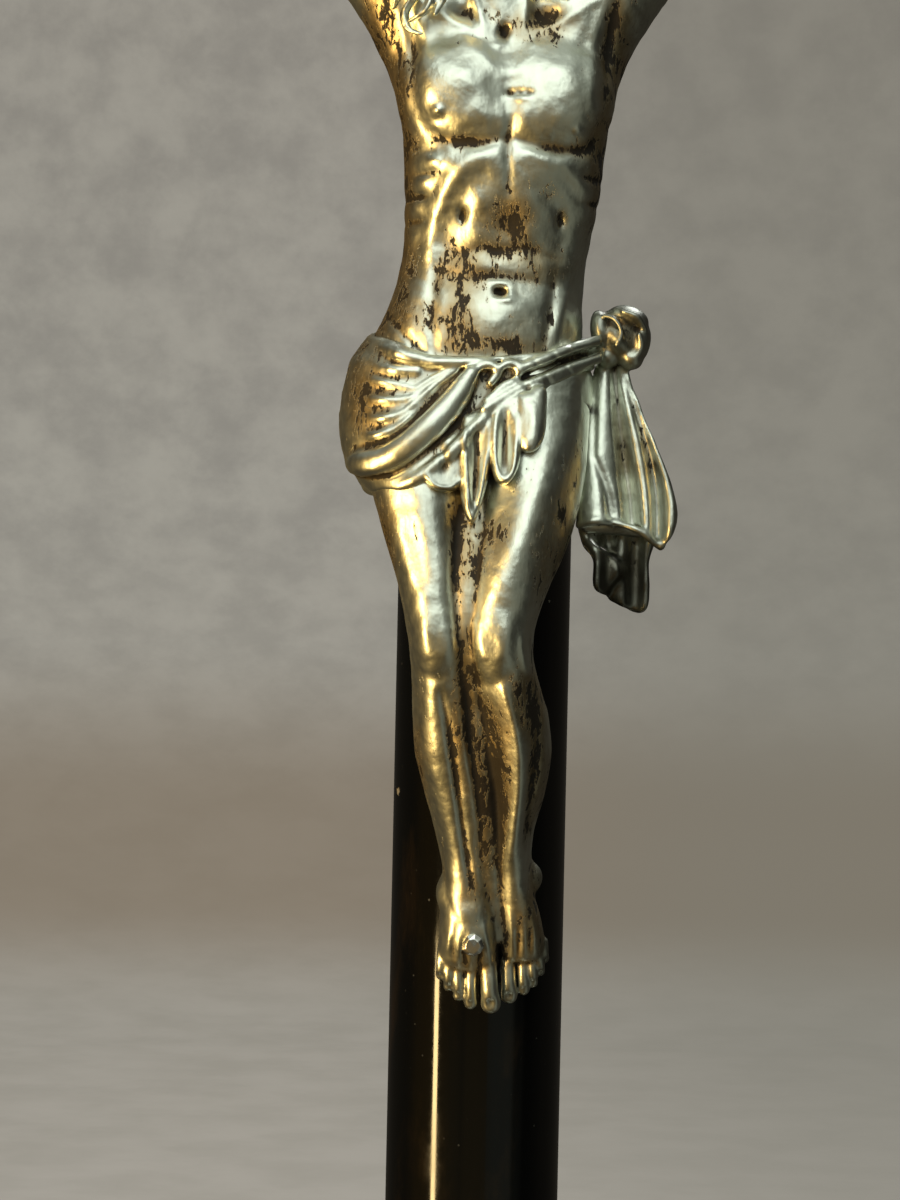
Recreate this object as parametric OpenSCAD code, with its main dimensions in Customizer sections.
// Processional cross: round lacquered beams, cast corpus, turned terminals, knop and staff socket.
// Millimetres. +Z runs up the staff, the corpus faces -Y, and the origin is the centre of the socket's mouth.

/* [Cross] */
// Diameter of the round beams
beam_d = 32; // [30:0.5:34]
// Height of the crossing's centre above the socket's mouth
crossing_z = 504; // [500:1:530]
// Length of the upper limb, from the crossing's centre to the end of the wood
upper_limb = 92; // [84:1:120]
// Length of each side limb, from the crossing's centre to the end of the wood
side_limb = 118; // [110:1:150]

/* [Terminals] */
// Length of a terminal's cup over the end of the beam
cap_depth = 16; // [12:1:20]
// Diameter of the ball on each terminal
finial_ball_d = 22; // [18:1:26]

/* [Knop] */
// Largest diameter of the knop's shells
knop_d = 84; // [76:1:90]
// Height of the knop's two shells together
knop_h = 52; // [46:1:56]
// Wall of the knop's shells
shell_wall = 2; // [1.6:0.2:2.6]

/* [Socket] */
// Bore that the staff goes into
staff_bore_d = 32.6; // [32:0.1:33]
// Depth of the staff's bore
staff_bore_depth = 75; // [65:1:78]
// Outside diameter of the socket's tube
socket_d = 38; // [37:0.5:40]

/* [Hidden] */
$fn = 64;
eps = 0.01;
fit = 0.1;                       // clearance between a cup or ring and what it holds
slip = 0.05;                     // clearance of pins, rods and screws in their holes
beam_r = beam_d / 2;
socket_r = socket_d / 2;
bore_r = staff_bore_d / 2;
knop_r = knop_d / 2;

silver = [0.80, 0.78, 0.70];
old_silver = [0.62, 0.60, 0.53];
lacquer = [0.05, 0.045, 0.04];
steel = [0.45, 0.45, 0.46];
dowel_wood = [0.62, 0.45, 0.28];

// Heights of the stack below the upright, from the socket's mouth
tube_top = 100;
chamber_r = 12;
web_z = 90;
lower_neck_top = 116;
knop_top = lower_neck_top + knop_h;
upper_neck_top = knop_top + 14;
upright_foot = upper_neck_top + 4;
cup_top = upright_foot + 14;
rod_r = 5;
rod_bottom = 79;
rod_top = upright_foot + 42;
nut_h = 8;
nut_across_flats = 17;

// Crossing
arm_dowel_r = 6;
arm_dowel_l = 84;

// Corpus, from the crossing's centre
mid_x = 1.2;                     // the figure's middle, at the shoulders
nail_r = 1.4;
palm_reach = 72.8;               // from the figure's middle to the palm's nail
palm_z = -2;
foot_nail_x = -1;
foot_nail_z = -222;
shoulder_reach = 22.5;           // from the figure's middle to the centre of the shoulder's joint face
shoulder_y = -27;
shoulder_z = -48;
arm_slope = 40;
back_screw_z = [-72, -128];
tail_pin_z = -115;

clamp_z = 38;
screw_r = 4;
shoe_r = 6;

// ---- helpers ----

// Points of an arc about c, from angle a to angle b
function arc(c, r, a, b, n = 10) = [for (i = [0:n]) let (t = a + (b - a) * i / n)
    [c[0] + r * cos(t), c[1] + r * sin(t)]];

// Points of a quarter ellipse, from the equator (t = 0) towards the pole
function oval(rx, ry, a, b, n = 12) = [for (i = [0:n]) let (t = a + (b - a) * i / n)
    [rx * cos(t), ry * sin(t)]];

module turned(profile) rotate_extrude() polygon(profile);

module at_crossing() translate([0, 0, crossing_z]) children();

// Turns what stands on +Z to lie along +Y (dir = 1) or along -Y (dir = -1), starting from a point
module along_y(x, y, z, dir = 1) translate([x, y, z]) rotate([-90 * dir, 0, 0]) children();

// Ellipsoid of a chain: [x, y, z, rx, ry, rz]
module blob(b, grow = 0) translate([b[0], b[1], b[2]])
    scale([b[3] + grow, b[4] + grow, b[5] + grow]) sphere(r = 1, $fn = 20);

module chain(blobs, grow = 0) for (i = [0:len(blobs) - 2]) hull() {
    blob(blobs[i], grow);
    blob(blobs[i + 1], grow);
}

// Ring of a round section
module ring(r, section_r) rotate_extrude() translate([r, 0]) circle(r = section_r, $fn = 32);

// The three ends of the beams: 0 is the top, 1 is the viewer's left and 2 is the viewer's right
module at_end(i) at_crossing() rotate([0, [0, -90, 90][i], 0])
    translate([0, 0, i == 0 ? upper_limb : side_limb]) children();

// ---- wooden cross ----

module upright_beam() color(lacquer) difference() {
    translate([0, 0, upright_foot]) cylinder(r = beam_r, h = crossing_z + upper_limb - upright_foot);
    translate([0, 0, upright_foot - eps]) cylinder(r = rod_r + slip, h = rod_top - upright_foot + 1);
    at_crossing() {
        rotate([0, 90, 0]) cylinder(r = arm_dowel_r + slip, h = 3 * beam_d, center = true);
        along_y(foot_nail_x, -beam_r - 1, foot_nail_z) cylinder(r = nail_r + slip, h = 14);
        for (z = back_screw_z) along_y(0, beam_r + 1, z, -1) cylinder(r = 2 + slip, h = beam_d + 2);
        for (s = [-1, 1]) along_y(0, -beam_r - 1, title_z + s * (title_h / 2 - title_pin_inset))
            cylinder(r = title_pin_r + slip, h = 9);
    }
    at_end(0) stud_hole();
}

module stud_hole() translate([0, 0, -12]) cylinder(r = 3 + slip, h = 13);

module arm_beam(side) color(lacquer) difference() {
    at_crossing() rotate([0, 90 * side, 0]) cylinder(r = beam_r, h = side_limb);
    cylinder(r = beam_r + slip, h = crossing_z + 2 * upper_limb);
    at_crossing() {
        rotate([0, 90 * side, 0]) cylinder(r = arm_dowel_r + slip, h = arm_dowel_l / 2 + 0.5);
        along_y(hand_x(side), -beam_r - 1, palm_z) cylinder(r = nail_r + slip, h = 14);
    }
    at_end(side < 0 ? 1 : 2) stud_hole();
}

module arm_dowel() color(dowel_wood) at_crossing() rotate([0, 90, 0])
    cylinder(r = arm_dowel_r, h = arm_dowel_l, center = true);

// ---- terminals ----

cap_top = 9;
cap_r = beam_r + 3;

module terminal_cap(i) color(silver) at_end(i) difference() {
    turned(concat(
        [[0, cap_top], [0, 0], [beam_r + fit, 0], [beam_r + fit, -cap_depth], [beam_r + 1.6, -cap_depth]],
        arc([beam_r + 1.6, -cap_depth + 1.6], 1.6, -90, 90, 8),
        [[beam_r + 1.4, -cap_depth + 4.5], [beam_r + 1.4, -2.5]],
        arc([cap_r - 0.8, 0], 2.3, -100, 90, 10),
        arc([cap_r - 0.8, cap_top], 6.7, -90, -180, 8)));
    translate([0, 0, -eps]) cylinder(r = 3 + slip, h = cap_top + 1);
}

module terminal_finial(i) color(silver) at_end(i) difference() {
    union() {
        translate([0, 0, cap_top]) turned(concat([[0, 0], [10, 0]], arc([10, 1.5], 1.5, -90, 90, 8),
            arc([8.6, 5.2], 2.2, -90, -200, 8), [[0, 7]]));
        translate([0, 0, cap_top + 5 + finial_ball_d / 2]) sphere(d = finial_ball_d);
        translate([0, 0, cap_top + 4 + finial_ball_d]) turned(concat([[0, -2]], arc([0, 1.6], 3.2, -50, 90, 10)));
    }
    translate([0, 0, cap_top - eps]) cylinder(r = 3 + slip, h = 12);
}

module terminal_studs() color(steel) for (i = [0:2]) at_end(i) translate([0, 0, -11.5])
    cylinder(r = 3, h = cap_top + 11.5 + 11);

// ---- title plaque: a scroll with nothing written on it ----

title_z = 46;
title_h = 20;
title_w = 34;
title_t = 2.2;
title_pin_r = 0.9;
title_pin_inset = 4;

module title_plaque() color(silver) at_crossing() translate([0, -beam_r - fit, title_z]) difference() {
    union() {
        translate([-title_w / 2, -title_t, -title_h / 2]) cube([title_w, title_t, title_h]);
        for (s = [-1, 1]) translate([s * title_w / 2, -title_t / 2, 0])
            cylinder(r = 2.2, h = title_h + 4, center = true);
    }
    for (s = [-1, 1]) along_y(0, -title_t - 1, s * (title_h / 2 - title_pin_inset))
        cylinder(r = title_pin_r + slip, h = title_t + 2);
}

module title_pins() color(old_silver) at_crossing() for (s = [-1, 1])
    along_y(0, -beam_r - fit - title_t, title_z + s * (title_h / 2 - title_pin_inset)) {
        cylinder(r = title_pin_r, h = 9.5);
        translate([0, 0, -1.2]) cylinder(r = 1.8, h = 1.2);
    }

// ---- corpus ----

torso = [[1.8, -27, -58, 23, 10.5, 7], [1.9, -28, -71, 19.2, 12.5, 8], [1.7, -27.5, -84, 17.5, 11, 8],
         [0.6, -27, -98, 16.3, 9.5, 8], [-0.8, -27.5, -109, 17.4, 10.5, 8], [-3.4, -27.5, -120, 21, 12.5, 9],
         [-3.8, -28, -133, 21.6, 12, 8]];
left_leg = [[-14, -29, -132, 11.5, 12, 9], [-10, -33, -150, 8.2, 9.5, 8], [-8.6, -37.5, -167, 5.8, 7, 6],
            [-7.8, -32, -181, 5.2, 6.5, 6], [-5.4, -28, -195, 4.6, 5.2, 5], [-2.6, -24.5, -211, 3.8, 4, 4],
            [-2, -24.5, -220, 4.8, 4.4, 4], [-1, -24, -230, 4.9, 3, 3.4]];
right_leg = [[8, -29, -134, 10.5, 12, 9], [6.2, -33, -150, 8, 9.5, 8], [2.6, -38, -168, 6, 7.2, 6],
             [5.6, -31.5, -184, 6.2, 7, 7], [6.3, -27, -200, 4.8, 5, 6], [6.4, -23.5, -212, 3.8, 4, 4],
             [7.6, -23.5, -220, 4.6, 4.2, 4], [8, -23, -228, 4.6, 2.8, 3]];
neck = [[1, -28, -60, 9, 8, 5], [-1, -31.5, -50, 6, 6.5, 5]];
head = [[-3.5, -36, -45, 7, 8, 7.5], [-4, -35, -37.5, 9.6, 11.4, 11]];
arm = [[17, -27, -55, 9, 8.5, 8], [25, -26.5, -46.5, 7.6, 7.5, 7.5], [36, -25.5, -36, 5.8, 5.8, 5.8],
       [46, -25, -27, 5, 5, 5], [54, -23.5, -19.5, 4.7, 4.6, 4.7], [66, -20.8, -8.5, 3, 2.8, 3],
       [73, -19.4, -2.5, 4.4, 2.4, 4.4], [79, -20, 3.5, 3.6, 2, 3.6]];
crown_tilt = [14, -12, 0];
crown_at = [-4.3, -35, -33];

function hand_x(side) = mid_x + side * palm_reach;

// Stands on the shoulder's joint face, with +Z out along the arm
module at_shoulder(side) translate([mid_x + side * shoulder_reach, shoulder_y, shoulder_z])
    rotate([0, side * (90 - arm_slope), 0]) children();

// All of space beyond the shoulder's joint face
module beyond_shoulder(side, gap = 0) at_shoulder(side) translate([-60, -60, gap]) cube([120, 120, 120]);

module beam_clearance() {
    translate([0, 0, -300]) cylinder(r = beam_r + 0.2, h = 420, $fn = 48);
    rotate([0, 90, 0]) cylinder(r = beam_r + 0.2, h = 2 * side_limb, center = true, $fn = 48);
}

module corpus_solids(grow = 0) {
    chain(torso, grow);
    chain(left_leg, grow);
    chain(right_leg, grow);
    chain(neck, grow);
    chain(head, grow);
    for (side = [-1, 1]) mirrored(side) chain([for (i = [0:1]) arm[i]], grow);
}

// The arms are drawn on the viewer's right and mirrored in the figure's middle for side = -1
module mirrored(side) translate([mid_x, 0, 0]) mirror([side < 0 ? 1 : 0, 0, 0]) translate([-mid_x, 0, 0])
    children();

module crown_ring(grow = 0) translate(crown_at) rotate(crown_tilt) scale([0.95, 1.12, 1]) ring(10, 1.3 + grow);

module corpus_body() color(silver) at_crossing() difference() {
    corpus_solids();
    beam_clearance();
    for (side = [-1, 1]) {
        beyond_shoulder(side);
        shoulder_dowel(side, 0.1);
    }
    crown_ring(0.1);
    foot_nail_hole();
    tail_pin_at(0.12);
    for (z = back_screw_z) along_y(0, 0, z, -1) cylinder(r = 2.12, h = 26, $fn = 20);
}

module nail_hole(x, z) along_y(x, -40, z) cylinder(r = nail_r + 0.12, h = 30, $fn = 20);

module foot_nail_hole() nail_hole(foot_nail_x, foot_nail_z);

module shoulder_dowel(side, grow = 0) at_shoulder(side)
    cylinder(r = 2 + grow, h = 9 + 2 * grow, center = true, $fn = 24);

module corpus_arm(side) color(silver) at_crossing() difference() {
    intersection() {
        mirrored(side) chain(arm);
        beyond_shoulder(side, slip);
    }
    beam_clearance();
    shoulder_dowel(side, 0.1);
    nail_hole(hand_x(side), palm_z);
}

module shoulder_dowels() color(steel) at_crossing() for (side = [-1, 1]) shoulder_dowel(side);

module crown_of_thorns() color(old_silver) at_crossing() crown_ring();

// Knot and hanging end of the loincloth, cast apart and pinned to the hip
knot = [[22, -27, -111, 4.8, 4.8, 4], [22.6, -27, -116, 5, 4.8, 3.6]];
tail = [[22, -26.5, -119, 3.6, 3.4, 2], [24, -26, -131, 5.6, 3.6, 2.4], [25.4, -26, -144, 8.4, 4.4, 3],
        [24.6, -26, -150, 7.6, 3.8, 3], [26.4, -26, -159, 4.2, 3.2, 3]];

module loincloth_tail() color(silver) at_crossing() difference() {
    union() {
        chain(knot);
        chain(tail);
    }
    corpus_solids(0.15);
    tail_pin_at(0.12);
}

module tail_pin_at(grow = 0) translate([17.5, -27, tail_pin_z]) rotate([0, 90, 0])
    cylinder(r = 1 + grow, h = 12 + 2 * grow, center = true, $fn = 24);

module tail_pin() color(steel) at_crossing() tail_pin_at();

// Forged nail: a low faceted head over a round shank with a point
module nail(l, head_r = 2.4) {
    cylinder(r = nail_r, h = l - 2.5);
    translate([0, 0, l - 2.5]) cylinder(r1 = nail_r, r2 = 0.4, h = 2.5);
    translate([0, 0, -1]) cylinder(r = head_r, h = 1, $fn = 7);
    translate([0, 0, -2]) cylinder(r1 = 0.8 * head_r, r2 = head_r, h = 1, $fn = 32);
}

module hand_nail(side) color(old_silver) at_crossing() along_y(hand_x(side), -22.2, palm_z) nail(17);

module foot_nail() color(old_silver) at_crossing() along_y(foot_nail_x, -28.9, foot_nail_z) nail(22);

module back_screws() color(steel) at_crossing() for (z = back_screw_z) along_y(0, beam_r + 0.8, z, -1) {
    cylinder(r = 2, h = beam_d + 6);
    difference() {
        translate([0, 0, -2.4]) cylinder(r = 3.8, h = 2.4);
        translate([-0.5, -4, -2.5]) cube([1, 8, 1]);
    }
}

module back_washers() color(silver) at_crossing() for (z = back_screw_z) difference() {
    along_y(0, beam_r + 0.8, z, -1) cylinder(r = 6, h = 2.4);
    translate([0, 0, z - 10]) cylinder(r = beam_r + slip, h = 20);
    along_y(0, beam_r + 2, z, -1) cylinder(r = 2 + slip, h = 6);
}

// ---- knop and socket ----

rod_hole_r = rod_r + 2 * slip;

module upright_cup() color(silver) turned(concat(
    [[rod_hole_r, upper_neck_top], [beam_r + 1, upper_neck_top]],
    arc([beam_r + 2.2, upper_neck_top + 2.4], 2.4, -90, 90, 10),
    [[beam_r + 1.8, upper_neck_top + 6], [beam_r + 1.8, cup_top - 5]],
    arc([beam_r + 2, cup_top - 2.2], 2.2, -90, 90, 10),
    [[beam_r + fit, cup_top], [beam_r + fit, upright_foot], [rod_hole_r, upright_foot]]));

// A spool with a hollow between two edges, from z0 to z1
module spool(z0, z1, r, waist) turned(concat(
    [[rod_hole_r, z0], [r, z0], [r, z0 + 2]],
    [for (i = [0:12]) let (t = i / 12) [r - 1 - (r - 1 - waist) * sin(180 * t), z0 + 2 + (z1 - z0 - 4) * t]],
    [[r, z1 - 2], [r, z1], [rod_hole_r, z1]]));

module upper_neck() color(silver) spool(knop_top, upper_neck_top, 15, 10);

module lower_neck() color(silver) spool(tube_top, lower_neck_top, 16, 11);

// Half of the knop, opening downwards, with its flat end plate at h above the equator
module half_knop(h) {
    pole_r = 18;
    top = acos(pole_r / knop_r);
    rise = h / sin(top);
    turned(concat(
        [[knop_r - shell_wall, 0]], oval(knop_r, rise, 0, top),
        [[rod_hole_r, h], [rod_hole_r, h - shell_wall], [pole_r, h - shell_wall]],
        oval(knop_r - shell_wall, rise - shell_wall, top - 4, 0)));
}

knop_mid = lower_neck_top + knop_h / 2;

module knop_upper_shell() color(silver) translate([0, 0, knop_mid]) half_knop(knop_h / 2);

module knop_lower_shell() color(silver) translate([0, 0, knop_mid]) mirror([0, 0, 1]) half_knop(knop_h / 2);

module knop_band() color(silver) translate([0, 0, knop_mid]) turned(concat(
    [[knop_r + slip, -4.5], [knop_r + 1.2, -4.5]], arc([knop_r + 1.2, -3.3], 1.2, -90, 0, 6),
    arc([knop_r + 1.2, 3.3], 1.2, 0, 90, 6), [[knop_r + slip, 4.5]]));

boss_count = 8;

module knop_bosses() color(old_silver) for (i = [0:boss_count - 1]) translate([0, 0, knop_mid])
    rotate([0, 0, i * 360 / boss_count]) translate([knop_r + 2.42, 0, 0]) rotate([0, 90, 0]) {
        cylinder(r = 3, h = 0.8);
        translate([0, 0, 0.7]) cylinder(r1 = 2.4, r2 = 1.2, h = 1.5);
    }

module knop_spacer() color(steel) translate([0, 0, lower_neck_top + shell_wall + slip]) difference() {
    cylinder(r = 9, h = knop_h - 2 * shell_wall - 2 * slip);
    translate([0, 0, -1]) cylinder(r = rod_hole_r, h = knop_h);
}

module socket_tube() color(silver) difference() {
    cylinder(r = socket_r, h = tube_top);
    translate([0, 0, -1]) cylinder(r = bore_r, h = staff_bore_depth + 1);
    cylinder(r = chamber_r, h = web_z);
    cylinder(r = rod_hole_r, h = tube_top + 1);
    along_y(0, bore_r - 6, clamp_z) cylinder(r = shoe_r + fit, h = 12);
}

module socket_collar() color(silver) turned(concat(
    [[socket_r + slip, 84]], [[socket_r + 1, 84]], arc([socket_r + 1.5, 86], 2, -90, 90, 8),
    arc([socket_r + 1.2, 92], 2.8, -60, 60, 8), [[socket_r + slip, 96]]));

module socket_lip() color(silver) turned(concat(
    [[socket_r + slip, 0], [socket_r + 1.5, 0]], arc([socket_r + 1.5, 2.5], 2.5, -90, 90, 10),
    arc([socket_r + 0.6, 7.2], 1.6, -60, 90, 8), [[socket_r + slip, 8.8]]));

// ---- staff clamp ----

boss_out = 30;

module clamp_boss() color(silver) difference() {
    along_y(0, socket_r - 4, clamp_z) union() {
        cylinder(r = 9, h = boss_out - socket_r + 2);
        translate([0, 0, boss_out - socket_r + 2]) cylinder(r1 = 9, r2 = 7, h = 2);
    }
    cylinder(r = socket_r + slip, h = tube_top);
    along_y(0, 0, clamp_z) cylinder(r = shoe_r + fit, h = 22.5);
    along_y(0, 0, clamp_z) cylinder(r = screw_r + slip, h = 60);
}

shoe_front = 17.2;
shoe_t = 3.4;
tip_r = 2.4;
tip_l = 1.8;

module clamp_shoe() color("goldenrod") difference() {
    along_y(0, shoe_front, clamp_z) cylinder(r = shoe_r, h = shoe_t);
    along_y(0, shoe_front + shoe_t - tip_l, clamp_z) cylinder(r = tip_r + slip, h = tip_l + 1);
}

module clamp_screw() color(silver) {
    along_y(0, shoe_front + shoe_t - tip_l + slip, clamp_z) cylinder(r = tip_r, h = 4);
    along_y(0, shoe_front + shoe_t + 0.3, clamp_z) cylinder(r = screw_r, h = 20);
    along_y(0, boss_out + 7, clamp_z) cylinder(r = 6, h = 3);
    for (s = [-1, 1]) translate([0, boss_out + 9, clamp_z]) hull() {
        translate([s * 8, 9, 0]) cylinder(r = 4.5, h = 3.2, center = true, $fn = 32);
        translate([s * 2.5, 1, 0]) cube([3, 2, 3.2], center = true);
        translate([0, 4, 0]) cube([1, 4, 3.2], center = true);
    }
}

// ---- tie rod through the knop ----

module tie_rod() color(steel) translate([0, 0, rod_bottom]) cylinder(r = rod_r, h = rod_top - rod_bottom);

module tie_nut() color(steel) translate([0, 0, web_z - 2 - nut_h]) difference() {
    cylinder(d = nut_across_flats / cos(30), h = nut_h, $fn = 6);
    translate([0, 0, -1]) cylinder(r = rod_r + slip, h = nut_h + 2);
}

module tie_washer() color(steel) translate([0, 0, web_z - 2]) difference() {
    cylinder(r = 11, h = 2);
    translate([0, 0, -1]) cylinder(r = rod_hole_r, h = 4);
}

upright_beam();
arm_beam(-1);  // left_arm_beam
arm_beam(1);  // right_arm_beam
arm_dowel();
terminal_cap(0);  // top_cap
terminal_cap(1);  // left_cap
terminal_cap(2);  // right_cap
terminal_finial(0);  // top_finial
terminal_finial(1);  // left_finial
terminal_finial(2);  // right_finial
terminal_studs();
title_plaque();
title_pins();
corpus_body();
corpus_arm(-1);  // corpus_left_arm
corpus_arm(1);  // corpus_right_arm
shoulder_dowels();
crown_of_thorns();
loincloth_tail();
tail_pin();
hand_nail(-1);  // left_hand_nail
hand_nail(1);  // right_hand_nail
foot_nail();
back_screws();
back_washers();
upright_cup();
upper_neck();
knop_upper_shell();
knop_lower_shell();
knop_band();
knop_bosses();
knop_spacer();
lower_neck();
socket_tube();
socket_collar();
socket_lip();
clamp_boss();
clamp_shoe();
clamp_screw();
tie_rod();
tie_nut();
tie_washer();
